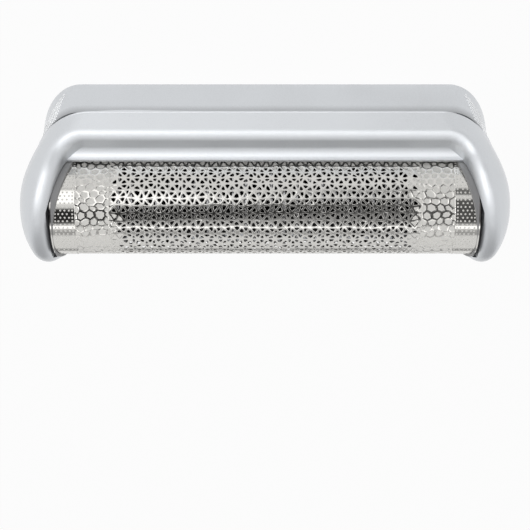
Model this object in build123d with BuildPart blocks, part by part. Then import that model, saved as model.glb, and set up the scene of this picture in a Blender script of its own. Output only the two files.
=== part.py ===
from build123d import *
import os
from math import acos, asin, atan2, cos, degrees, hypot, radians, sin, sqrt, tan

# Foil head of a small pocket shaver: an outer frame with soft end bumpers, an arched
# perforated foil on its carrier, and the cutter block that oscillates under the foil.
# Millimetres. X runs along the foil, Z points out of the foil, and the skirt's rim is at Z = 0.

# Foil
foil_length = 48.0
foil_radius = 5.5
foil_thickness = 0.2
foil_gap = 0.45
foil_end_gap = 0.35
hole_rows = 7
hole_columns = 17
hole_row_step = 21.0
hole_pitch = 2.05
hole_radius = 0.72

# Outer frame
wall = 1.3
rail_wall = 1.3
skirt_height = 4.6
skirt_end_reach = 5.3
rim_overhang = 0.5
rim_end_reach = 7.4
rim_edge_chamfer = 0.3
rail_width = 4.35
rail_rise = 3.9
foil_axis_rise = 1.3
ridge_round = 1.2
saddle_round = 2.4
end_cover = 1.88
window_flare = 17.0
bumper_thickness = 3.65
bumper_bulge = 1.3
bumper_proud = 2.1
bumper_reach = 5.0
lip_height = 0.9
lip_width = 0.25
lip_reach = 1.2
snap_width = 9.0
snap_height = 0.9
snap_depth = 0.45
snap_level = 1.5

# Foil carrier and clamp strips
carrier_clearance = 0.15
carrier_thickness = 1.5
flange_thickness = 0.7
flange_rise = 1.0
end_plate_thickness = 0.8
end_plate_setback = 0.2
foil_seat_clearance = 0.03
clamp_thickness = 0.4
clamp_height = 0.9
clamp_end_gap = 3.0
hoop_thickness = 0.3
hoop_reach = 0.7
hoop_crest = 0.0167

# Cutter block
blade_count = 30
blade_thickness = 0.22
blade_clearance = 0.2
blade_knee_drop = 1.3
blade_leg = 1.2
cutter_stroke = 1.2
cutter_end_gap = 0.6
cheek_thickness = 0.45
base_thickness = 1.6
base_edge = 0.7
base_chamfer = 1.0
core_width = 4.4
spine_width = 3.4
spine_top_width = 2.4
blade_crown = 1.9
spine_step_drop = 1.5
spine_drop = 1.6
window_height = 1.3
core_height = 2.8
window_lengths = (4.8, 11.6, 4.8)
window_post = 3.6
notch_length = 5.5
notch_height = 0.8
notch_depth = 0.6
notch_offset = 8.0
drive_slot_length = 3.4
drive_slot_width = 2.6
drive_slot_depth = 2.2

# Heights and half sizes that follow from the values above
rail_height = skirt_height + rail_rise
foil_axis = rail_height + foil_axis_rise
foil_inner = foil_radius - foil_thickness
rail_floor = rail_height - lip_height
ceiling = rail_floor - rail_wall
bumper_radius = foil_radius + bumper_proud
pocket_half = foil_length / 2 + foil_end_gap
head_half = pocket_half + bumper_thickness
rim_half_length = head_half - bumper_bulge
rim_half_width = foil_radius + foil_gap + rail_width
skirt_half_length = rim_half_length - rim_overhang
skirt_half_width = rim_half_width - rim_overhang
cavity_half_length = skirt_half_length - wall
cavity_half_width = skirt_half_width - wall
cavity_end_reach = skirt_end_reach * cavity_half_width / skirt_half_width
floor_half = foil_length / 2 - end_cover
saddle_top = foil_axis + 2 * bumper_radius
top_half = floor_half + (saddle_top - rail_floor) * tan(radians(window_flare))
window_half_width = foil_radius + foil_gap
lip_foot = window_half_width + lip_width + lip_reach


def plan_outline(height, half_length, half_width, end_reach):
    """Return a level outline with straight long sides and half-ellipse ends."""
    straight = half_length - end_reach
    with BuildSketch(Plane.XY.offset(height)) as outline:
        with BuildLine():
            Line((-straight, -half_width), (straight, -half_width))
            EllipticalCenterArc((straight, 0), end_reach, half_width, start_angle=-90, arc_size=180)
            Line((straight, half_width), (-straight, half_width))
            EllipticalCenterArc((-straight, 0), end_reach, half_width, start_angle=90, arc_size=180)
        make_face()
    return outline.sketch


def arch_outline(radius, foot):
    """Return an end-view outline: a half round about the foil's axis on straight legs."""
    with BuildSketch(Plane.YZ) as outline:
        with BuildLine():
            Line((-radius, foot), (radius, foot))
            Line((radius, foot), (radius, foil_axis))
            CenterArc((0, foil_axis), radius, 0, 180)
            Line((-radius, foil_axis), (-radius, foot))
        make_face()
    return outline.sketch


# Levels of the rim's body: flanks that slope in to the bumpers' round tops
axis_rise = foil_axis - skirt_height
flank_angle = degrees(atan2(-axis_rise, rim_half_width))
flank_angle += degrees(acos(bumper_radius / hypot(rim_half_width, axis_rise)))
flank_lean = tan(radians(flank_angle))


def rim_level(rise):
    """Return the rim's outline at a height above (or below) the foil's axis."""
    round_width = sqrt(bumper_radius**2 - max(rise, 0) ** 2)
    if rise < bumper_radius * sin(radians(flank_angle)):
        half_width = rim_half_width - flank_lean * (rise + axis_rise)
    else:
        half_width = round_width
    end_reach = bumper_reach * half_width / bumper_radius
    half_length = head_half - bumper_reach + bumper_reach * round_width / bumper_radius
    if rise < 0:
        up = 1 + rise / axis_rise
        half_length = rim_half_length + bumper_bulge * sin(radians(90 * up))
        end_reach = rim_end_reach + (end_reach - rim_end_reach) * up
    return plan_outline(foil_axis + rise, half_length, half_width, end_reach)


lower_rises = [-axis_rise * share for share in (1, 0.8, 0.6, 0.4, 0.2, 0)]
upper_rises = [bumper_radius * sin(radians(angle)) for angle in (15, 30, 45, 58, 70, 78, 84)]

with BuildPart() as outer_frame:
    loft(sections=[rim_level(rise) for rise in lower_rises + upper_rises])
    chamfer(outer_frame.edges().group_by(Axis.Z)[0], length=rim_edge_chamfer)
    extrude(plan_outline(0, skirt_half_length, skirt_half_width, skirt_end_reach), amount=skirt_height)

    # The saddle between the bumpers, with flared ends
    with BuildSketch(Plane.XZ) as saddle_side:
        with BuildLine():
            Polyline(
                (-floor_half, rail_floor),
                (floor_half, rail_floor),
                (top_half, saddle_top),
                (-top_half, saddle_top),
                close=True,
            )
        make_face()
        fillet(saddle_side.vertices().group_by(Axis.Y)[0], radius=saddle_round)
    extrude(amount=2 * rim_half_width, both=True, mode=Mode.SUBTRACT)
    ridges = outer_frame.edges(Select.LAST).filter_by(GeomType.BSPLINE)
    fillet(ridges.filter_by(lambda edge: edge.center().Z > rail_floor - ridge_round / 2), radius=ridge_round)

    # A lip along each rail, beside the foil, that sweeps up out of the rail's floor
    with BuildSketch(Plane.YZ) as lip:
        with BuildLine():
            TangentArc(
                (lip_foot, rail_floor),
                (window_half_width + lip_width, rail_height),
                tangent=(-1, 0),
            )
            Polyline(
                (window_half_width + lip_width, rail_height),
                (foil_inner, rail_height),
                (foil_inner, rail_floor - lip_height),
                (lip_foot, rail_floor - lip_height),
                (lip_foot, rail_floor),
            )
        make_face()
        mirror(about=Plane.YZ)
    extrude(amount=pocket_half, both=True)

    # The hollow that takes the shaver's neck, and the window that the foil stands in
    extrude(
        plan_outline(0, cavity_half_length, cavity_half_width, cavity_end_reach),
        amount=ceiling,
        mode=Mode.SUBTRACT,
    )
    extrude(
        arch_outline(window_half_width, skirt_height),
        amount=pocket_half,
        both=True,
        mode=Mode.SUBTRACT,
    )

    # Two ribs inside the skirt that snap over the shaver's neck
    with Locations(*[(0, side * cavity_half_width, snap_level) for side in (-1, 1)]):
        Box(snap_width, 2 * snap_depth, snap_height)


with BuildPart() as foil:
    extrude(arch_outline(foil_radius, ceiling), amount=foil_length / 2, both=True)
    extrude(arch_outline(foil_inner, ceiling), amount=foil_length / 2, both=True, mode=Mode.SUBTRACT)
    for row in range(hole_rows):
        lean = radians((row - (hole_rows - 1) / 2) * hole_row_step)
        columns = hole_columns - row % 2
        row_plane = Plane((0, 0, foil_axis), x_dir=(1, 0, 0), z_dir=(0, sin(lean), cos(lean)))
        with BuildSketch(row_plane):
            with GridLocations(hole_pitch, hole_pitch, columns, 1):
                RegularPolygon(hole_radius, 6, rotation=30)
        extrude(amount=2 * foil_radius, mode=Mode.SUBTRACT)

# The carrier's ring seats under the rails, its flanges and end plates hold the foil from inside,
# and a hoop over each end of the foil shows between the foil and the bumper
ring_bottom = ceiling - carrier_thickness
seat_radius = foil_inner - foil_seat_clearance
flange_inner = seat_radius - flange_thickness
plate_outer = foil_length / 2 - end_plate_setback
plate_inner = plate_outer - end_plate_thickness
hoop_inner = foil_radius + foil_seat_clearance
hoop_foot = floor_half - hoop_reach - rail_wall * tan(radians(window_flare))
hoop_slope = (plate_outer - hoop_crest - hoop_foot) / (foil_axis + hoop_inner - ceiling)
hoop_lean = (saddle_top - ceiling) * hoop_slope

with BuildPart() as foil_carrier:
    extrude(
        plan_outline(
            ring_bottom,
            cavity_half_length - carrier_clearance,
            cavity_half_width - carrier_clearance,
            cavity_end_reach,
        ),
        amount=carrier_thickness,
    )
    with BuildSketch(Plane.XY.offset(ring_bottom)):
        Rectangle(2 * plate_inner, 2 * flange_inner)
    extrude(amount=carrier_thickness, mode=Mode.SUBTRACT)
    extrude(arch_outline(hoop_inner + hoop_thickness, ceiling), amount=plate_outer, both=True)
    extrude(arch_outline(hoop_inner, ceiling), amount=plate_outer, both=True, mode=Mode.SUBTRACT)
    with BuildSketch(Plane.XZ):
        with BuildLine():
            Polyline(
                (-hoop_foot, ceiling),
                (hoop_foot, ceiling),
                (hoop_foot + hoop_lean, saddle_top),
                (-hoop_foot - hoop_lean, saddle_top),
                close=True,
            )
        make_face()
    extrude(amount=2 * foil_radius, both=True, mode=Mode.SUBTRACT)
    with BuildSketch(Plane.XY.offset(ceiling)):
        Rectangle(2 * plate_outer, 2 * seat_radius)
        Rectangle(2 * plate_inner, 2 * flange_inner, mode=Mode.SUBTRACT)
    extrude(amount=flange_rise)
    end_plate = arch_outline(seat_radius, ring_bottom)
    extrude(end_plate.moved(Location((plate_inner, 0, 0))), amount=end_plate_thickness)
    extrude(end_plate.moved(Location((-plate_outer, 0, 0))), amount=end_plate_thickness)

with BuildPart() as foil_clamp_front:
    with BuildSketch(Plane.XY.offset(ceiling)):
        with Locations((0, -foil_radius - clamp_thickness / 2)):
            Rectangle(2 * (floor_half - clamp_end_gap), clamp_thickness)
    extrude(amount=clamp_height)

with BuildPart() as foil_clamp_rear:
    add(foil_clamp_front.part.mirror(Plane.XZ))

# Heights and half sizes of the cutter block
blade_radius = foil_inner - blade_clearance
spine_top = foil_axis + blade_radius - blade_crown
spine_step = spine_top - spine_step_drop
spine_bottom = spine_step - spine_drop
window_bottom = spine_bottom - window_height
base_top = window_bottom - core_height
base_bottom = base_top - base_thickness
leg_half = core_width / 2 + blade_leg
base_half = leg_half + base_edge
cutter_half = plate_inner - cutter_stroke - cutter_end_gap
blade_span = 2 * (cutter_half - cheek_thickness) - blade_thickness
blade_pitch = blade_span / (blade_count - 1)
core_points = [
    (-core_width / 2, base_top),
    (core_width / 2, base_top),
    (core_width / 2, window_bottom),
    (spine_width / 2, window_bottom),
    (spine_width / 2, spine_step),
    (spine_top_width / 2, spine_step),
    (spine_top_width / 2, spine_top),
    (-spine_top_width / 2, spine_top),
    (-spine_top_width / 2, spine_step),
    (-spine_width / 2, spine_step),
    (-spine_width / 2, window_bottom),
    (-core_width / 2, window_bottom),
]

with BuildPart() as cutter_carrier:
    with BuildSketch(Plane.YZ):
        with BuildLine():
            Polyline(*core_points, close=True)
        make_face()
    extrude(amount=cutter_half, both=True)
    with BuildSketch(Plane.XY.offset(base_bottom)):
        Rectangle(2 * cutter_half, 2 * base_half)
    extrude(amount=base_thickness)
    cheek_middle = cutter_half - cheek_thickness / 2
    with BuildSketch(Plane.XY.offset(base_bottom)):
        with Locations((-cheek_middle, 0), (cheek_middle, 0)):
            Rectangle(cheek_thickness, 2 * base_half)
    extrude(amount=window_bottom - base_bottom)
    foot_edges = cutter_carrier.edges().filter_by(Axis.Y).group_by(Axis.Z)[0]
    chamfer(foot_edges, length=base_chamfer)

    # Windows under the spine, with a post between each two
    window_place = -(sum(window_lengths) + window_post * (len(window_lengths) - 1)) / 2
    for window_length in window_lengths:
        with Locations((window_place + window_length / 2, 0, (window_bottom + spine_bottom) / 2)):
            Box(window_length, core_width, window_height, mode=Mode.SUBTRACT)
        window_place += window_length + window_post

    # Notches in the base's long sides, and the slot for the drive pin under it
    notch_level = base_top - notch_height / 2
    notch_signs = [(end, side) for end in (-1, 1) for side in (-1, 1)]
    with Locations(*[(end * notch_offset, side * base_half, notch_level) for end, side in notch_signs]):
        Box(notch_length, 2 * notch_depth, notch_height, mode=Mode.SUBTRACT)
    with BuildSketch(Plane.XY.offset(base_bottom)):
        Rectangle(drive_slot_length, drive_slot_width)
    extrude(amount=drive_slot_depth, mode=Mode.SUBTRACT)

parts = {
    "outer_frame": outer_frame,
    "foil": foil,
    "foil_carrier": foil_carrier,
    "foil_clamp_front": foil_clamp_front,
    "foil_clamp_rear": foil_clamp_rear,
    "cutter_carrier": cutter_carrier,
}

# Half-moon blades, moulded into the carrier's spine
knee_angle = degrees(asin(blade_knee_drop / blade_radius))
knee = (blade_radius * cos(radians(knee_angle)), foil_axis - blade_knee_drop)
for number in range(1, blade_count + 1):
    place = (number - (blade_count + 1) / 2) * blade_pitch
    with BuildPart() as blade:
        with BuildSketch(Plane.YZ.offset(place - blade_thickness / 2)):
            with BuildLine():
                CenterArc((0, foil_axis), blade_radius, -knee_angle, 180 + 2 * knee_angle)
                Polyline((-knee[0], knee[1]), (-leg_half, base_top), (leg_half, base_top), knee)
            make_face()
            with BuildLine():
                Polyline(*core_points, close=True)
            make_face(mode=Mode.SUBTRACT)
        extrude(amount=blade_thickness)
    parts[f"cutter_blade_{number:02d}"] = blade

os.makedirs("parts", exist_ok=True)
for name, piece in parts.items():
    piece.part.label = name
    export_step(piece.part, f"parts/{name}.step")
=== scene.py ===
"""Looks of a small shaver foil head: painted frame, perforated foil, carrier and cutter block."""

from math import cos, pi, radians, sin

import bpy
from bpy.props import FloatProperty, FloatVectorProperty, IntProperty, PointerProperty
from mathutils import Matrix, Vector


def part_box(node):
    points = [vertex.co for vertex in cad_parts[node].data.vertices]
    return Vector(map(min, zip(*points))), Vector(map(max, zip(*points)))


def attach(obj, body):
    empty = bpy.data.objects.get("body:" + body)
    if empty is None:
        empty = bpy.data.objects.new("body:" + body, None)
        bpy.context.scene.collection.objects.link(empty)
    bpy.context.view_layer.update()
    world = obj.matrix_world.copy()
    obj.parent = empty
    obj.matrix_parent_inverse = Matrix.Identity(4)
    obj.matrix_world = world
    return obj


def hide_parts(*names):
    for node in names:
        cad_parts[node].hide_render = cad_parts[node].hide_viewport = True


bl_info = {
    "name": "Shaver foil head",
    "version": (1, 0, 0),
    "blender": (4, 5, 0),
    "location": "View3D > Sidebar > Foil head",
    "description": "Dresses the packed foil head with its foil, grips, finishes and stage",
    "category": "Object",
}

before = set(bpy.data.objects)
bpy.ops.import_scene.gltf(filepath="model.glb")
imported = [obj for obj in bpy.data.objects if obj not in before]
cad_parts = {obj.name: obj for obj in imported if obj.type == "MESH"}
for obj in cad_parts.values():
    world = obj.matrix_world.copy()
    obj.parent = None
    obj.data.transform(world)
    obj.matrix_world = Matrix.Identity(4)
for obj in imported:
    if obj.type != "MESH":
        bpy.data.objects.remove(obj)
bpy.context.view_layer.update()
foil_low, foil_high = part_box("foil")
BLADES = sorted(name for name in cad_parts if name.startswith("cutter_blade_"))


def length(name, description, default):
    """A size in metres that shows in the sidebar."""
    return FloatProperty(
        name=name, description=description, default=default, subtype="DISTANCE", unit="LENGTH"
    )


def angle(name, description, default):
    """An angle, given in degrees."""
    return FloatProperty(name=name, description=description, default=radians(default), subtype="ANGLE")


def share(name, description, default):
    """A plain share or strength."""
    return FloatProperty(name=name, description=description, default=default, subtype="FACTOR")


def colour(name, description, default):
    """A linear colour."""
    return FloatVectorProperty(name=name, description=description, default=default, subtype="COLOR", size=3)


class FoilSizes(bpy.types.PropertyGroup):
    """Sizes of the perforated foil."""

    radius: length("Radius", "Outer radius of the foil's arch", (foil_high.y - foil_low.y) / 2)
    axis: length("Axis height", "Height of the arch's axis", foil_high.z - (foil_high.y - foil_low.y) / 2)
    half: length("Half length", "Half of the foil's length", foil_high.x)
    foot: length("Foot height", "Height of the foil's lower edges", foil_low.z)
    thickness: length("Thickness", "Thickness of the sheet", 0.00009)
    open_half: length("Open zone", "Half length of the zone with through holes", 0.0174)
    blind_half: length("Blind zone", "Half length at the end of the blind cells", 0.0212)
    dot_half: length("Dot zone", "Half length at the end of the dots", 0.0236)
    pitch: length("Hole pitch", "Spacing of the web's stars", 0.00098)
    blind_pitch: length("Cell pitch", "Spacing of the blind cells", 0.0009)
    dot_pitch: length("Dot pitch", "Spacing of the dots", 0.00047)
    jitter: share("Jitter", "How irregular the mosaic is", 0.2)
    opening: share("Opening", "Share of a cell inside its web", 0.64)
    blind_opening: share("Blind opening", "What the share of a blind cell has more", 0.3)
    spread: share("Spread", "How far the shares differ each way", 0.05)
    recess: length("Recess", "Drop from the web's crest to a cell's edge", 0.00005)
    border: length("Border", "Width of the blind border above the foot", 0.0029)
    seam: length("Seam", "Reach of the pale seam at the open zone's ends", 0.0001)
    dot_radius: share("Dot radius", "Radius of a dot, in pitches", 0.27)
    dot_rise: share("Dot rise", "Height of a dot over its radius", 0.2)
    seed: IntProperty(name="Seed", description="Seed of the mosaic", default=7)


class GripSizes(bpy.types.PropertyGroup):
    """Sizes of the grip dots on the skirt's ends."""

    pitch: length("Pitch", "Spacing of the grip dots", 0.0004)
    dot: length("Dot radius", "Radius of a grip dot", 0.00015)
    rise: share("Dot rise", "Height of a grip dot over its radius", 0.8)
    low: length("Lowest row", "Height of the lowest row", 0.001)
    high: length("Highest row", "Height of the highest row", 0.0042)
    reach: length("End reach", "Length of the skirt's rounded end", 0.0053)
    skirt_half: length("Skirt half length", "Half length of the skirt", 0.0262)
    skirt_width: length("Skirt half width", "Half width of the skirt", 0.0098)
    tip: angle("Tip", "Turn round the end of the patch's lowest point", 68)
    near: angle("Near edge", "Turn of the patch's near edge under the rim", 58)
    far: angle("Far edge", "Turn of the patch's far edge under the rim", 14)


class BeadSizes(bpy.types.PropertyGroup):
    """Sizes of the rolled edge under the rim."""

    half: length("Half length", "Half length of the bead's outline", 0.02672)
    width: length("Half width", "Half width of the bead's outline", 0.01009)
    reach: length("End reach", "Length of the outline's rounded end", 0.00736)
    height: length("Height", "Height of the bead", 0.00486)
    radius: length("Radius", "Radius of the bead", 0.00015)


class Finishes(bpy.types.PropertyGroup):
    """Colours of the finishes."""

    paint: colour("Silver paint", "Painted frame", (0.615, 0.633, 0.655))
    # Painted highlight: the grip dots get a near-white colour, lighter than the frame's paint, so that they
    # show as bright flecks
    bright: colour("Bright metal", "Grip dots", (0.93, 0.94, 0.95))
    nickel: colour("Nickel foil", "Electroformed foil", (0.63, 0.62, 0.595))
    grey: colour("Grey plastic", "Foil carrier", (0.4, 0.4, 0.405))
    black: colour("Black plastic", "Cutter carrier", (0.016, 0.016, 0.017))
    steel: colour("Steel", "Blades and clamp strips", (0.60, 0.60, 0.61))


class StageSizes(bpy.types.PropertyGroup):
    """Camera and light of the stage."""

    elevation: angle("Elevation", "Camera height", 40)
    distance: length("Distance", "Camera to the middle of the view", 0.160)
    width: length("View width", "Width of the view at that distance", 0.0588)
    aim: length("Aim height", "Height that the camera aims at", 0.01868)
    floor: length("Floor size", "Side of the square floor", 3.0)
    drop: length("Floor drop", "Depth of the floor under the skirt's rim", 0.00002)
    white: share("Floor white", "Share of plain white in the floor as it is seen", 0.95)
    lamp_aim: length("Lamp aim", "Height that the lamps point at", 0.01)
    sky: share("Sky level", "Strength of the soft surrounding light", 0.36)


# Rows of a triangular grid lie this many pitches apart
ROW_STEP = 0.866
# Points nearer to a grid's border than this many pitches stay where they are
BORDER_REACH = 0.1
# The holes stop short of the open zone's ends by a random number of pitches between these
RAGGED = (0.3, 1.6)
# How firmly the corners of a cell stay when the web is rounded
CORNER_CREASE = 0.4
# Points across a plain margin of the foil, so that it bends smoothly
MARGIN_ROWS = 97
# Turn, in radians, by which the grip patch is eased past its edges
EDGE_EASE = 0.02
# Points along the bead and round its section
BEAD_POINTS = 128
BEAD_SIDES = 10

# Painted shade: the skirt's colour darkens from a height, over a rise, towards the crease at the rim's
# foot, where the rim shades it
CREASE_SHADE_LOW = 0.0034
CREASE_SHADE_RISE = 0.0012
RIM_FOOT = 0.00461

# Brightness of the studio on the camera's left and right, from the front horizon over the top to the back
STUDIO_LEFT = (
    (0.0, 0.62),
    (0.03, 0.95),
    (0.265, 1.0),
    (0.285, 0.03),
    (0.46, 0.02),
    (0.5, 0.7),
    (0.62, 0.45),
    (1.0, 0.4),
)
STUDIO_RIGHT = (
    (0.0, 0.4),
    (0.02, 0.14),
    (0.085, 0.14),
    (0.1, 1.0),
    (0.14, 1.0),
    (0.155, 0.14),
    (0.32, 0.1),
    (0.45, 0.05),
    (0.5, 0.7),
    (0.62, 0.45),
    (1.0, 0.4),
)

# How sharply left passes to right, how far the left cards sink on the way, and the power by which they lead
STUDIO_CHANGE = 4.0
STUDIO_SINK = 0.18
STUDIO_LEAD = 3.0

# Plain cards at both far sides: where they start, how fast they come in, and their level
FLANK_START = 0.4
FLANK_GAIN = 3.0
FLANK_LEVEL = 0.9

FRAME_PIECES = ("outer_frame", "grip_dots", "rim_bead")
FOIL_PIECES = ("perforated_foil", "foil_dots")

# Lamps of the stage: place, width, height, power and the pieces that the lamp is for, if not all
LAMPS = {
    "front": ((0.30, -0.50, 0.25), 0.60, 0.36, 0.5, ()),
    "overhead": ((0.0, 0.055, 0.62), 0.60, 0.08, 0.2, ()),
    "softbox": ((0.04, -0.45, 0.52), 1.00, 0.74, 2.85, FRAME_PIECES),
    "rear": ((0.0, 0.42, 0.34), 0.70, 0.50, 0.55, FOIL_PIECES),
    "wing_left": ((0.45, -0.22, 0.45), 0.30, 0.30, 1.0, FOIL_PIECES),
    "wing_right": ((-0.45, -0.22, 0.45), 0.30, 0.30, 0.72, FOIL_PIECES),
}

SETTINGS = {
    "foil_sizes": FoilSizes,
    "grip_sizes": GripSizes,
    "bead_sizes": BeadSizes,
    "finishes": Finishes,
    "stage_sizes": StageSizes,
}


class Flow:
    """One socket of a node tree; arithmetic on it adds Math nodes."""

    def __init__(self, graph, socket):
        self.graph = graph
        self.socket = socket

    def math(self, operation, *values):
        """A Math node on this socket and other values."""
        return self.graph.node("ShaderNodeMath", {"operation": operation}, dict(enumerate((self, *values))))

    def unit(self):
        """The value, held between 0 and 1."""
        return self.math("MAXIMUM", 0.0).math("MINIMUM", 1.0)

    def out(self, name):
        """Another output of the same node."""
        return Flow(self.graph, self.socket.node.outputs[name])

    def __add__(self, other):
        return self.math("ADD", other)

    def __sub__(self, other):
        return self.math("SUBTRACT", other)

    def __mul__(self, other):
        return self.math("MULTIPLY", other)

    def __truediv__(self, other):
        return self.math("DIVIDE", other)

    def __mod__(self, other):
        return self.math("FLOORED_MODULO", other)

    def __lt__(self, other):
        return self.math("LESS_THAN", other)

    def __gt__(self, other):
        return self.math("GREATER_THAN", other)

    def __abs__(self):
        return self.math("ABSOLUTE")

    def __rsub__(self, other):
        return self.graph.node("ShaderNodeMath", {"operation": "SUBTRACT"}, {0: other, 1: self})

    __radd__ = __add__
    __rmul__ = __mul__


class Graph:
    """A node tree that is being built."""

    def __init__(self, tree):
        self.tree = tree

    def node(self, kind, settings=None, inputs=None, out=0):
        """Add a node: its type, its settings, then the values or links of its sockets."""
        made = self.tree.nodes.new(kind)
        for name, value in (settings or {}).items():
            if name == "stops":
                set_stops(made.color_ramp, value)
            else:
                setattr(made, name, value)
        for key, value in (inputs or {}).items():
            for one in value if isinstance(value, list) else [value]:
                if isinstance(one, Flow):
                    self.tree.links.new(one.socket, made.inputs[key])
                else:
                    made.inputs[key].default_value = one
        return Flow(self, made.outputs[out]) if made.outputs else made

    def vector(self, x, y, z):
        """A vector from three values."""
        return self.node("ShaderNodeCombineXYZ", None, {0: x, 1: y, 2: z})

    def split(self, vector):
        """The three values of a vector."""
        parts = self.node("ShaderNodeSeparateXYZ", None, {0: vector})
        return parts, parts.out("Y"), parts.out("Z")


def set_stops(ramp, stops):
    """Give a colour ramp its stops, each a position and a grey level."""
    while len(ramp.elements) < len(stops):
        ramp.elements.new(0.5)
    for element, (place, level) in zip(ramp.elements, stops):
        element.position = place
        element.color = (level, level, level, 1)


def new_finish(name, constants):
    """A material with its shader's even values set; returns the material, its graph and shader node."""
    material = bpy.data.materials.new(name)
    material.use_nodes = True
    shader = material.node_tree.nodes["Principled BSDF"]
    for key, value in constants.items():
        shader.inputs[key].default_value = value
    return material, Graph(material.node_tree), shader


def feed(graph, shader, **links):
    """Link flows to the shader's sockets, named with underscores for spaces."""
    for name, flow in links.items():
        graph.tree.links.new(flow.socket, shader.inputs[name.replace("_", " ")])


def noise(graph, scale, detail=2.0, stretch=(1, 1, 1)):
    """Noise on object coordinates, from 0 to 1."""
    place = graph.node("ShaderNodeTexCoord", None, None, "Object")
    scaled = graph.node("ShaderNodeMapping", None, {"Vector": place, "Scale": stretch})
    values = {"Vector": scaled, "Scale": scale, "Detail": detail}
    return graph.node("ShaderNodeTexNoise", None, values, "Fac")


def tint(graph, factor, low, high):
    """A colour between two, by the colour sockets of a Mix node."""
    return graph.node(
        "ShaderNodeMix",
        {"data_type": "RGBA", "clamp_factor": True},
        {0: factor, 6: (*low, 1), 7: (*high, 1)},
        2,
    )


def shade(rgb, factor):
    """A colour made lighter or darker."""
    return tuple(min(channel * factor, 1.0) for channel in rgb)


def bump(graph, height, strength, distance):
    """A bump from a height flow."""
    return graph.node(
        "ShaderNodeBump", None, {"Height": height, "Strength": strength, "Distance": distance}, "Normal"
    )


def silver_paint(rgb):
    """Satin silver lacquer with fine flake, a trace of orange peel and painted shade on the skirt."""
    material, graph, shader = new_finish(
        "silver_lacquer", {"Metallic": 0.85, "Coat Weight": 0.5, "Coat Roughness": 0.2, "IOR": 1.5}
    )
    flake = noise(graph, 14000, 1.0)
    cloud = noise(graph, 160, 2.0)
    _, _, up = graph.split(graph.node("ShaderNodeTexCoord", None, None, "Object"))
    # Painted shade: the skirt's colour is a little darker overall and darker still towards the crease under
    # the rim; flake and cloud are the paint's own uneven tone
    skirt = up < RIM_FOOT
    crease = ((up - CREASE_SHADE_LOW) / CREASE_SHADE_RISE).math("MAXIMUM", 0.0) * skirt
    speckle_and_shade = flake * 0.7 + cloud * 0.3 - crease * 0.9 - skirt * 0.06
    colour_flow = tint(graph, speckle_and_shade + 0.5, shade(rgb, 0.62), shade(rgb, 1.1))
    rough = 0.4 + flake * 0.08 + cloud * 0.06
    peel = noise(graph, 1500, 2.0) + flake * 0.25
    feed(graph, shader, Base_Color=colour_flow, Roughness=rough, Normal=bump(graph, peel, 0.12, 0.00002))
    return material


def grip_highlight_metal(rgb):
    """Glossy metal in a near-white copy of the frame's silver, as painted highlight on the grip dots,
    rubbed and a little uneven.
    """
    material, graph, shader = new_finish("grip_highlight_metal", {"Metallic": 0.8})
    rub = noise(graph, 3000, 2.0)
    rough = 0.16 + rub * 0.2
    feed(graph, shader, Base_Color=tint(graph, rub, shade(rgb, 0.9), shade(rgb, 1.05)), Roughness=rough)
    return material


def nickel_foil(rgb):
    """Bright electroformed nickel, matt and pale in the blind cells and at the rims of the holes."""
    material, graph, shader = new_finish("bright_nickel", {"IOR": 1.5})
    grain = noise(graph, 9000, 2.0)
    drift = noise(graph, 240, 2.0)
    cell = graph.node("ShaderNodeAttribute", {"attribute_name": "recess"}, None, "Fac")
    rim = graph.node("ShaderNodeAttribute", {"attribute_name": "rim"}, None, "Fac")
    pale = cell.math("MAXIMUM", (rim * 1.6 - 0.3).math("MINIMUM", 1.0))
    mixed = grain * 0.25 + drift * 0.25 + pale * 0.6
    colour_flow = tint(graph, mixed, shade(rgb, 0.94), shade(rgb, 1.24))
    rough = 0.07 + grain * 0.05 + drift * 0.05 + pale * 0.45
    feed(graph, shader, Base_Color=colour_flow, Roughness=rough, Metallic=1.0 - pale * 0.75)
    feed(graph, shader, Normal=bump(graph, grain, 0.1, 0.00001))
    return material


def moulded_plastic(name, rgb, gloss):
    """Moulded plastic with a fine spark texture."""
    material, graph, shader = new_finish(name, {"IOR": 1.49})
    grain = noise(graph, 5200, 3.0)
    cloud = noise(graph, 300, 2.0)
    colour_flow = tint(graph, cloud, shade(rgb, 0.8), shade(rgb, 1.25))
    rough = gloss + grain * 0.16 + cloud * 0.08
    feed(graph, shader, Base_Color=colour_flow, Roughness=rough, Normal=bump(graph, grain, 0.25, 0.00003))
    return material


def ground_steel(name, rgb, stretch):
    """Steel with fine grinding marks that run one way."""
    material, graph, shader = new_finish(name, {"Metallic": 1.0})
    marks = noise(graph, 6000, 2.0, stretch)
    cloud = noise(graph, 350, 2.0)
    colour_flow = tint(graph, marks * 0.6 + cloud * 0.4, shade(rgb, 0.78), shade(rgb, 1.2))
    rough = 0.2 + marks * 0.16 + cloud * 0.08
    feed(graph, shader, Base_Color=colour_flow, Roughness=rough, Normal=bump(graph, marks, 0.2, 0.00002))
    return material


def settings():
    """The scene's own sizes and colours."""
    return bpy.context.scene


def new_object(name, mesh):
    """An object at the origin in the scene."""
    made = bpy.data.objects.new(name, mesh)
    bpy.context.scene.collection.objects.link(made)
    return made


def new_tree(name, inputs):
    """A geometry tree with named inputs; returns its graph, the inputs as flows and their identifiers."""
    tree = bpy.data.node_groups.new(name, "GeometryNodeTree")
    tree.interface.new_socket("Geometry", in_out="OUTPUT", socket_type="NodeSocketGeometry")
    kinds = {float: "NodeSocketFloat", int: "NodeSocketInt"}
    idents = {}
    for label, value in inputs.items():
        socket = tree.interface.new_socket(label, in_out="INPUT", socket_type=kinds[type(value)])
        idents[label] = socket.identifier
    graph = Graph(tree)
    entry = graph.node("NodeGroupInput")
    return graph, {label: entry.out(label) for label in inputs}, idents


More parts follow.
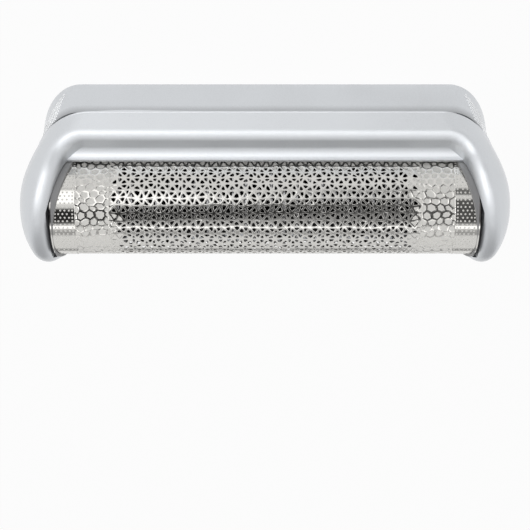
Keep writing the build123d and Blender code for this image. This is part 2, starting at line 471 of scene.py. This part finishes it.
def close_tree(graph, shapes, material):
    """Join the shapes, make the instances real and give them their material."""
    joined = graph.node("GeometryNodeJoinGeometry", None, {0: shapes})
    real = graph.node("GeometryNodeRealizeInstances", None, {0: joined})
    painted = graph.node("GeometryNodeSetMaterial", None, {"Geometry": real, "Material": material})
    graph.node("NodeGroupOutput", None, {0: painted})


def grown(name, graph, idents, inputs, thickness=0.0, crease=radians(40)):
    """Evaluate a tree on an empty object and keep the result as a plain mesh object."""
    holder = new_object(name + "_holder", bpy.data.meshes.new(name + "_holder"))
    maker = holder.modifiers.new(name, "NODES")
    maker.node_group = graph.tree
    for label, value in inputs.items():
        maker[idents[label]] = value
    if thickness:
        wall = holder.modifiers.new("wall", "SOLIDIFY")
        wall.thickness = thickness
        wall.offset = -1.0
    depsgraph = bpy.context.evaluated_depsgraph_get()
    mesh = bpy.data.meshes.new_from_object(holder.evaluated_get(depsgraph))
    if not mesh.polygons:
        raise RuntimeError(name + " came out empty")
    bpy.data.objects.remove(holder)
    mesh.name = name
    mesh.shade_smooth()
    mesh.set_sharp_from_angle(angle=crease)
    return new_object(name, mesh)


def moved(graph, shape, offset):
    """The shape, with its points moved by an offset."""
    return graph.node("GeometryNodeSetPosition", None, {"Geometry": shape, "Offset": offset})


def staggered_grid(graph, middle, size_x, size_y, pitch, jitter, seed):
    """A flat grid whose rows step by half a pitch, shaken by the jitter away from its borders."""
    columns = (size_x / pitch).math("ROUND") + 1
    rows = (size_y / (pitch * ROW_STEP)).math("ROUND") + 1
    grid = graph.node(
        "GeometryNodeMeshGrid",
        None,
        {"Size X": size_x, "Size Y": size_y, "Vertices X": columns, "Vertices Y": rows},
    )
    x, y, _ = graph.split(graph.node("GeometryNodeInputPosition"))
    free_x = abs(x) < (size_x * 0.5 - pitch * BORDER_REACH)
    free_y = abs(y) < (size_y * 0.5 - pitch * BORDER_REACH)
    parity = (graph.node("GeometryNodeInputIndex") % rows) % 2
    shaken = graph.node(
        "FunctionNodeRandomValue",
        {"data_type": "FLOAT_VECTOR"},
        {0: (-1, -1, 0), 1: (1, 1, 0), "Seed": seed},
    )
    shake_x, shake_y, _ = graph.split(shaken)
    step_x = ((parity - 0.5) * 0.5 + shake_x * jitter) * pitch * free_x + middle
    step_y = shake_y * jitter * pitch * free_y
    return moved(graph, grid, graph.vector(step_x, step_y, 0.0))


def random(graph, seed, low, high):
    """A random number for each element."""
    return graph.node("FunctionNodeRandomValue", {"data_type": "FLOAT"}, {2: low, 3: high, "Seed": seed}, 1)


def mark(graph, shape, name, value, domain="FACE"):
    """Keep a value on the shape under a name."""
    return graph.node(
        "GeometryNodeStoreNamedAttribute",
        {"data_type": "FLOAT", "domain": domain},
        {"Geometry": shape, "Name": name, "Value": value},
    )


def marked(graph, name):
    """A value that was kept on the shape."""
    return graph.node("GeometryNodeInputNamedAttribute", {"data_type": "FLOAT"}, {"Name": name})


def open_cells(graph, grid, flow, width):
    """Small cells for through holes, blind along the borders."""
    x, across, _ = graph.split(graph.node("GeometryNodeInputPosition"))
    cells = graph.node("GeometryNodeTriangulate", {"quad_method": "SHORTEST_DIAGONAL"}, {"Mesh": grid})
    ragged = random(graph, flow["Seed"] + 5, *RAGGED) * flow["Pitch"]
    at_end = abs(x) + ragged > flow["Open Half"]
    border = abs(across) > width * 0.5 - flow["Border"]
    return mark(graph, cells, "recess", at_end.math("MAXIMUM", border))


def blind_cells(graph, grid):
    """Larger cells, all blind."""
    cells = graph.node("GeometryNodeTriangulate", {"quad_method": "SHORTEST_DIAGONAL"}, {"Mesh": grid})
    cells = graph.node("GeometryNodeDualMesh", None, {"Mesh": cells, "Keep Boundaries": True})
    return mark(graph, cells, "recess", 1.0)


def mosaic(graph, cells, flow):
    """Stand a web round the cells and open those that aren't blind.

    A blind cell is marked 1 in recess and a hole 2, until the holes are cut away.
    """
    raised = graph.node(
        "GeometryNodeExtrudeMesh",
        {"mode": "FACES"},
        {"Mesh": cells, "Offset Scale": 0.0, "Individual": True},
    )
    inner = raised.out("Top")
    cell = marked(graph, "recess")
    spread = flow["Spread"]
    scale = random(graph, flow["Seed"], 0.0 - spread, spread) + flow["Opening"]
    scale = scale + cell * flow["Blind Opening"]
    web = graph.node(
        "GeometryNodeScaleElements",
        {"domain": "FACE", "scale_mode": "UNIFORM"},
        {"Geometry": raised, "Selection": inner, "Scale": scale},
    )
    drop = graph.vector(0.0, 0.0, 0.0 - flow["Recess"])
    web = graph.node("GeometryNodeSetPosition", None, {"Geometry": web, "Selection": inner, "Offset": drop})
    web = mark(graph, web, "corner", inner, "POINT")
    hole = inner * (cell < 0.5)
    web = mark(graph, web, "rim", hole, "POINT")
    x, _, _ = graph.split(graph.node("GeometryNodeInputPosition"))
    seam = abs(abs(x) - flow["Open Half"]) < flow["Seam"]
    web = mark(graph, web, "recess", (inner * cell).math("MAXIMUM", seam) + hole * 2.0)
    cut = marked(graph, "recess") > 1.5
    web = graph.node("GeometryNodeDeleteGeometry", {"domain": "FACE"}, {"Geometry": web, "Selection": cut})
    return graph.node(
        "GeometryNodeSubdivisionSurface",
        {"boundary_smooth": "PRESERVE_CORNERS"},
        {"Mesh": web, "Level": 1, "Vertex Crease": marked(graph, "corner") * CORNER_CREASE},
    )


def wrapped(graph, flat, radius, axis):
    """Bend a flat sheet, long side along X, over the foil's arch with straight legs."""
    x, across, rise = graph.split(graph.node("GeometryNodeInputPosition"))
    quarter = radius * (pi / 2)
    bent = across.math("MINIMUM", quarter).math("MAXIMUM", 0.0 - quarter)
    turn = bent / radius
    reach = radius + rise
    height = turn.math("COSINE") * reach + axis - abs(across - bent)
    place = graph.vector(x, turn.math("SINE") * reach, height)
    return graph.node("GeometryNodeSetPosition", None, {"Geometry": flat, "Position": place})


def dots(graph, points, radius, rise, normal=None):
    """A low round dot on each point, standing on the surface."""
    dot = graph.node("GeometryNodeMeshIcoSphere", None, {"Radius": radius, "Subdivisions": 1})
    dot = mark(graph, dot, "recess", 1.0)
    normal = normal or graph.node("GeometryNodeInputNormal")
    turn = graph.node("FunctionNodeAlignRotationToVector", {"axis": "Z"}, {"Vector": normal})
    return graph.node(
        "GeometryNodeInstanceOnPoints",
        None,
        {"Points": points, "Instance": dot, "Rotation": turn, "Scale": graph.vector(1.0, 1.0, rise)},
    )


def unrolled(flow):
    """Width of the foil laid flat: its arch and both straight legs."""
    return flow["Radius"] * pi + (flow["Axis Height"] - flow["Foot Height"]) * 2.0


def between(start, end, side):
    """Middle and length of the stretch between two half lengths, on one side."""
    return (end + start) * 0.5 * side, end - start


class FOILHEAD_OT_outer_frame(bpy.types.Operator):
    """Paint the outer frame"""

    bl_idname = "foilhead.outer_frame"
    bl_label = "Outer frame"

    def execute(self, context):
        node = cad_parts["outer_frame"]
        node.material_slots[0].material = silver_paint(settings().finishes.paint)
        return {"FINISHED"}


class FOILHEAD_OT_grips(bpy.types.Operator):
    """Set rows of fine grip dots round the skirt's ends"""

    bl_idname = "foilhead.grips"
    bl_label = "Grip dots"

    def execute(self, context):
        sizes = settings().grip_sizes
        inputs = {
            "Pitch": sizes.pitch,
            "Dot Radius": sizes.dot,
            "Dot Rise": sizes.rise,
            "Low": sizes.low,
            "High": sizes.high,
            "End Reach": sizes.reach,
            "Half Length": sizes.skirt_half,
            "Half Width": sizes.skirt_width,
            "Tip": sizes.tip,
            "Near Edge": sizes.near,
            "Far Edge": sizes.far,
        }
        graph, flow, idents = new_tree("Grip dots", inputs)
        shapes = [self.patch(graph, flow, side) for side in (-1.0, 1.0)]
        # The dots' near-white finish is painted highlight
        close_tree(graph, shapes, grip_highlight_metal(settings().finishes.bright))
        piece = grown("grip_dots", graph, idents, inputs)
        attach(piece, "head")
        return {"FINISHED"}

    def patch(self, graph, flow, side):
        """Dots on one end: a grid bent round the skirt and cut to the two edges that meet at the tip."""
        half_width = flow["Half Width"]
        end_reach = flow["End Reach"]
        tall = flow["High"] - flow["Low"]
        middle = (flow["Low"] + flow["High"]) * 0.5
        arc = flow["Tip"] * half_width * 2.0
        flat = staggered_grid(graph, 0.0, arc, tall, flow["Pitch"], 0.0, 0)
        along, up, _ = graph.split(graph.node("GeometryNodeInputPosition"))
        turn = along / half_width
        cosine = turn.math("COSINE")
        sine = turn.math("SINE")
        end_x = flow["Half Length"] - end_reach + cosine * end_reach
        place = graph.vector(end_x * side, sine * half_width, up + middle)
        normal = graph.vector(cosine / end_reach * side, sine / half_width, 0.0)
        held = graph.node(
            "GeometryNodeStoreNamedAttribute",
            {"data_type": "FLOAT_VECTOR", "domain": "POINT"},
            {"Geometry": flat, "Name": "outward", "Value": normal},
        )
        drop = (flow["High"] - middle - up) / tall
        near = (flow["Tip"] - flow["Near Edge"]) * drop + flow["Near Edge"]
        far = (flow["Tip"] - flow["Far Edge"]) * drop + flow["Far Edge"]
        outside = (abs(turn) > near + EDGE_EASE).math("MAXIMUM", abs(turn) < far - EDGE_EASE)
        kept = graph.node(
            "GeometryNodeDeleteGeometry", {"domain": "POINT"}, {"Geometry": held, "Selection": outside}
        )
        laid = graph.node("GeometryNodeSetPosition", None, {"Geometry": kept, "Position": place})
        outward = graph.node(
            "GeometryNodeInputNamedAttribute", {"data_type": "FLOAT_VECTOR"}, {"Name": "outward"}
        )
        return dots(graph, laid, flow["Dot Radius"], flow["Dot Rise"], outward)


class FOILHEAD_OT_bead(bpy.types.Operator):
    """Lay the thin rolled edge along the rim's foot"""

    bl_idname = "foilhead.bead"
    bl_label = "Rim bead"

    def execute(self, context):
        sizes = settings().bead_sizes
        inputs = {
            "Half Length": sizes.half,
            "Half Width": sizes.width,
            "End Reach": sizes.reach,
            "Height": sizes.height,
            "Radius": sizes.radius,
        }
        graph, flow, idents = new_tree("Rim bead", inputs)
        ring = graph.node("GeometryNodeMeshCircle", None, {"Vertices": BEAD_POINTS})
        turn = (graph.node("GeometryNodeInputIndex") + 0.5) * (2 * pi / BEAD_POINTS)
        toward = turn.math("COSINE")
        x = toward * flow["End Reach"] + toward.math("SIGN") * (flow["Half Length"] - flow["End Reach"])
        y = turn.math("SINE") * flow["Half Width"]
        place = graph.vector(x, y, flow["Height"])
        laid = graph.node("GeometryNodeSetPosition", None, {"Geometry": ring, "Position": place})
        path = graph.node("GeometryNodeMeshToCurve", None, {"Mesh": laid})
        profile = graph.node(
            "GeometryNodeCurvePrimitiveCircle", None, {"Resolution": BEAD_SIDES, "Radius": flow["Radius"]}
        )
        tube = graph.node("GeometryNodeCurveToMesh", None, {"Curve": path, "Profile Curve": profile})
        close_tree(graph, [tube], silver_paint(settings().finishes.paint))
        piece = grown("rim_bead", graph, idents, inputs)
        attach(piece, "head")
        return {"FINISHED"}


class FOILHEAD_OT_foil(bpy.types.Operator):
    """Make the perforated foil with its blind cells, dots and plain ends"""

    bl_idname = "foilhead.foil"
    bl_label = "Perforated foil"

    def execute(self, context):
        sizes = settings().foil_sizes
        nickel = nickel_foil(settings().finishes.nickel)
        self.make_sheet(sizes, nickel)
        self.make_dots(sizes, nickel)
        return {"FINISHED"}

    def make_sheet(self, sizes, nickel):
        """The thin sheet: holes in the middle, then blind cells and a plain margin at each end."""
        inputs = {
            "Radius": sizes.radius,
            "Axis Height": sizes.axis,
            "Half Length": sizes.half,
            "Foot Height": sizes.foot,
            "Open Half": sizes.open_half,
            "Blind Half": sizes.blind_half,
            "Pitch": sizes.pitch,
            "Blind Pitch": sizes.blind_pitch,
            "Jitter": sizes.jitter,
            "Opening": sizes.opening,
            "Blind Opening": sizes.blind_opening,
            "Spread": sizes.spread,
            "Recess": sizes.recess,
            "Border": sizes.border,
            "Seam": sizes.seam,
            "Seed": sizes.seed,
        }
        graph, flow, idents = new_tree("Foil sheet", inputs)
        width = unrolled(flow)
        seed = flow["Seed"]
        jitter = flow["Jitter"]
        grid = staggered_grid(graph, 0.0, flow["Open Half"] * 2.0, width, flow["Pitch"], jitter, seed)
        flats = [mosaic(graph, open_cells(graph, grid, flow, width), flow)]
        for side in (-1.0, 1.0):
            middle, reach = between(flow["Open Half"], flow["Blind Half"], side)
            pitch = flow["Blind Pitch"]
            grid = staggered_grid(graph, middle, reach, width, pitch, jitter * 2.0, seed + side)
            flats.append(mosaic(graph, blind_cells(graph, grid), flow))
            middle, reach = between(flow["Blind Half"], flow["Half Length"], side)
            margin = graph.node(
                "GeometryNodeMeshGrid",
                None,
                {"Size X": reach, "Size Y": width, "Vertices X": 2, "Vertices Y": MARGIN_ROWS},
            )
            flats.append(moved(graph, margin, graph.vector(middle, 0.0, 0.0)))
        sheet = graph.node("GeometryNodeJoinGeometry", None, {0: flats})
        close_tree(graph, [wrapped(graph, sheet, flow["Radius"], flow["Axis Height"])], nickel)
        piece = grown("perforated_foil", graph, idents, inputs, sizes.thickness)
        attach(piece, "head")
        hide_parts("foil")

    def make_dots(self, sizes, nickel):
        """Rows of low dots on the margins, next to the blind cells."""
        inputs = {
            "Radius": sizes.radius,
            "Axis Height": sizes.axis,
            "Foot Height": sizes.foot,
            "Start": sizes.blind_half,
            "End": sizes.dot_half,
            "Pitch": sizes.dot_pitch,
            "Dot Radius": sizes.dot_radius,
            "Dot Rise": sizes.dot_rise,
        }
        graph, flow, idents = new_tree("Foil dots", inputs)
        width = unrolled(flow)
        pitch = flow["Pitch"]
        shapes = []
        for side in (-1.0, 1.0):
            middle, reach = between(flow["Start"], flow["End"], side)
            flat = staggered_grid(graph, middle, reach - pitch, width, pitch, 0.0, 0)
            bent = wrapped(graph, flat, flow["Radius"], flow["Axis Height"])
            shapes.append(dots(graph, bent, pitch * flow["Dot Radius"], flow["Dot Rise"]))
        close_tree(graph, shapes, nickel)
        piece = grown("foil_dots", graph, idents, inputs)
        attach(piece, "head")


class FOILHEAD_OT_carrier(bpy.types.Operator):
    """Finish the foil carrier and its clamp strips"""

    bl_idname = "foilhead.carrier"
    bl_label = "Foil carrier"

    def execute(self, context):
        colours = settings().finishes
        grey = moulded_plastic("grey_moulding", colours.grey, 0.34)
        strip = ground_steel("strip_steel_ground", colours.steel, (0.05, 1, 1))
        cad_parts["foil_carrier"].material_slots[0].material = grey
        for name in ("foil_clamp_front", "foil_clamp_rear"):
            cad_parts[name].material_slots[0].material = strip
        return {"FINISHED"}


class FOILHEAD_OT_cutter(bpy.types.Operator):
    """Finish the cutter block and its blades"""

    bl_idname = "foilhead.cutter"
    bl_label = "Cutter block"

    def execute(self, context):
        colours = settings().finishes
        black = moulded_plastic("black_moulding", colours.black, 0.26)
        blade = ground_steel("blade_steel_ground", colours.steel, (1, 0.08, 1))
        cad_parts["cutter_carrier"].material_slots[0].material = black
        for name in BLADES:
            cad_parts[name].material_slots[0].material = blade
        return {"FINISHED"}


class FOILHEAD_OT_stage(bpy.types.Operator):
    """Set the floor, the soft studio light and the camera"""

    bl_idname = "foilhead.stage"
    bl_label = "Stage"

    def execute(self, context):
        sizes = settings().stage_sizes
        scene = context.scene
        scene.view_settings.view_transform = "Standard"
        floor_mesh = bpy.data.meshes.new("floor")
        half = sizes.floor / 2
        corners = [(-half, -half), (half, -half), (half, half), (-half, half)]
        floor_mesh.from_pydata([(x, y, -sizes.drop) for x, y in corners], [], [(0, 1, 2, 3)])
        floor_mesh.materials.append(self.floor_finish(sizes.white))
        new_object("floor", floor_mesh)
        self.light_world(scene, sizes.sky)
        for name, values in LAMPS.items():
            self.add_lamp(sizes.lamp_aim, name, *values)
        self.add_camera(scene, sizes)
        return {"FINISHED"}

    def floor_finish(self, level):
        """A pale floor that keeps the object's shadow and looks white to the camera and in reflections."""
        material, graph, shader = new_finish("pale_floor", {"Roughness": 0.9, "Specular IOR Level": 0.1})
        cloud = noise(graph, 6.0, 2.0)
        feed(graph, shader, Base_Color=tint(graph, cloud, (0.93, 0.93, 0.93), (0.96, 0.96, 0.96)))
        path = graph.node("ShaderNodeLightPath")
        seen = path.out("Is Camera Ray").math("MAXIMUM", path.out("Is Glossy Ray"))
        seen = seen.math("MAXIMUM", path.out("Is Transmission Ray"))
        white = graph.node("ShaderNodeEmission", None, {"Color": (1, 1, 1, 1), "Strength": 1.0})
        mixed = graph.node(
            "ShaderNodeMixShader", None, {0: seen * level, 1: Flow(graph, shader.outputs[0]), 2: white}
        )
        output = material.node_tree.nodes["Material Output"]
        graph.tree.links.new(mixed.socket, output.inputs["Surface"])
        return material

    def light_world(self, scene, level):
        """Soft even light, white to the camera, with the studio's cards in reflections."""
        world = bpy.data.worlds.new("studio")
        scene.world = world
        world.use_nodes = True
        graph = Graph(world.node_tree)
        path = graph.node("ShaderNodeLightPath")
        seen = path.out("Is Camera Ray").math("MAXIMUM", path.out("Is Transmission Ray"))
        glossy = path.out("Is Glossy Ray")
        right, back, up = graph.split(graph.node("ShaderNodeTexCoord", None, None, "Generated"))
        turn = up.math("ARCTAN2", 0.0 - back) / pi
        side = (0.5 - right * STUDIO_CHANGE).unit()
        sunk = side * STUDIO_SINK + turn
        cards_left = graph.node("ShaderNodeValToRGB", {"stops": STUDIO_LEFT}, {0: sunk})
        cards_right = graph.node("ShaderNodeValToRGB", {"stops": STUDIO_RIGHT}, {0: turn})
        cards = side.math("POWER", STUDIO_LEAD) * (cards_right - cards_left) + cards_left
        flank = ((abs(right) - FLANK_START) * FLANK_GAIN).unit()
        cards = flank * (FLANK_LEVEL - cards) + cards
        soft = glossy * (cards - level) + level
        strength = seen * (1.0 - soft) + soft
        background = world.node_tree.nodes["Background"]
        background.inputs["Color"].default_value = (1, 1, 1, 1)
        graph.tree.links.new(strength.socket, background.inputs["Strength"])

    def add_lamp(self, aim, name, place, size_x, size_y, power, pieces):
        """A rectangular lamp that points at the aim height, for some pieces or for all."""
        lamp = bpy.data.lights.new(name, "AREA")
        lamp.shape = "RECTANGLE"
        lamp.size = size_x
        lamp.size_y = size_y
        lamp.energy = power
        holder = new_object(name, lamp)
        holder.location = place
        holder.rotation_mode = "QUATERNION"
        holder.rotation_quaternion = (Vector((0, 0, aim)) - Vector(place)).to_track_quat("-Z", "Y")
        if pieces:
            lit = bpy.data.collections.new(name + "_pieces")
            for label in pieces:
                lit.objects.link(bpy.data.objects[label])
            holder.light_linking.receiver_collection = lit

    def add_camera(self, scene, sizes):
        """A camera that looks down from the front, rolled by half a turn."""
        back = Vector((0, -cos(sizes.elevation), sin(sizes.elevation)))
        up = Vector((0, -sin(sizes.elevation), -cos(sizes.elevation)))
        lens = bpy.data.cameras.new("camera")
        lens.lens = lens.sensor_width * sizes.distance / sizes.width
        camera = new_object("camera", lens)
        turn = Matrix((up.cross(back), up, back)).transposed().to_4x4()
        turn.translation = Vector((0, 0, sizes.aim)) + back * sizes.distance
        camera.matrix_world = turn
        lens.clip_start = 0.005
        lens.clip_end = 10.0
        scene.camera = camera


PIECES = (
    FOILHEAD_OT_outer_frame,
    FOILHEAD_OT_grips,
    FOILHEAD_OT_bead,
    FOILHEAD_OT_foil,
    FOILHEAD_OT_carrier,
    FOILHEAD_OT_cutter,
    FOILHEAD_OT_stage,
)


class FOILHEAD_PT_sidebar(bpy.types.Panel):
    """Sizes, colours and pieces of the foil head"""

    bl_idname = "FOILHEAD_PT_sidebar"
    bl_label = "Foil head"
    bl_space_type = "VIEW_3D"
    bl_region_type = "UI"
    bl_category = "Foil head"

    def draw(self, context):
        for name, group in SETTINGS.items():
            box = self.layout.box()
            box.label(text=group.__doc__)
            for key in group.__annotations__:
                box.prop(getattr(context.scene, name), key)
        for piece in PIECES:
            self.layout.operator(piece.bl_idname)


CLASSES = (*SETTINGS.values(), *PIECES, FOILHEAD_PT_sidebar)


def register():
    for cls in CLASSES:
        bpy.utils.register_class(cls)
    for name, group in SETTINGS.items():
        setattr(bpy.types.Scene, name, PointerProperty(type=group))


def unregister():
    for name in SETTINGS:
        delattr(bpy.types.Scene, name)
    for cls in reversed(CLASSES):
        bpy.utils.unregister_class(cls)


def main():
    """Register the classes and make every piece in order."""
    register()
    bpy.ops.foilhead.outer_frame()
    bpy.ops.foilhead.grips()
    bpy.ops.foilhead.bead()
    bpy.ops.foilhead.foil()
    bpy.ops.foilhead.carrier()
    bpy.ops.foilhead.cutter()
    bpy.ops.foilhead.stage()


if __name__ == "__main__":
    main()
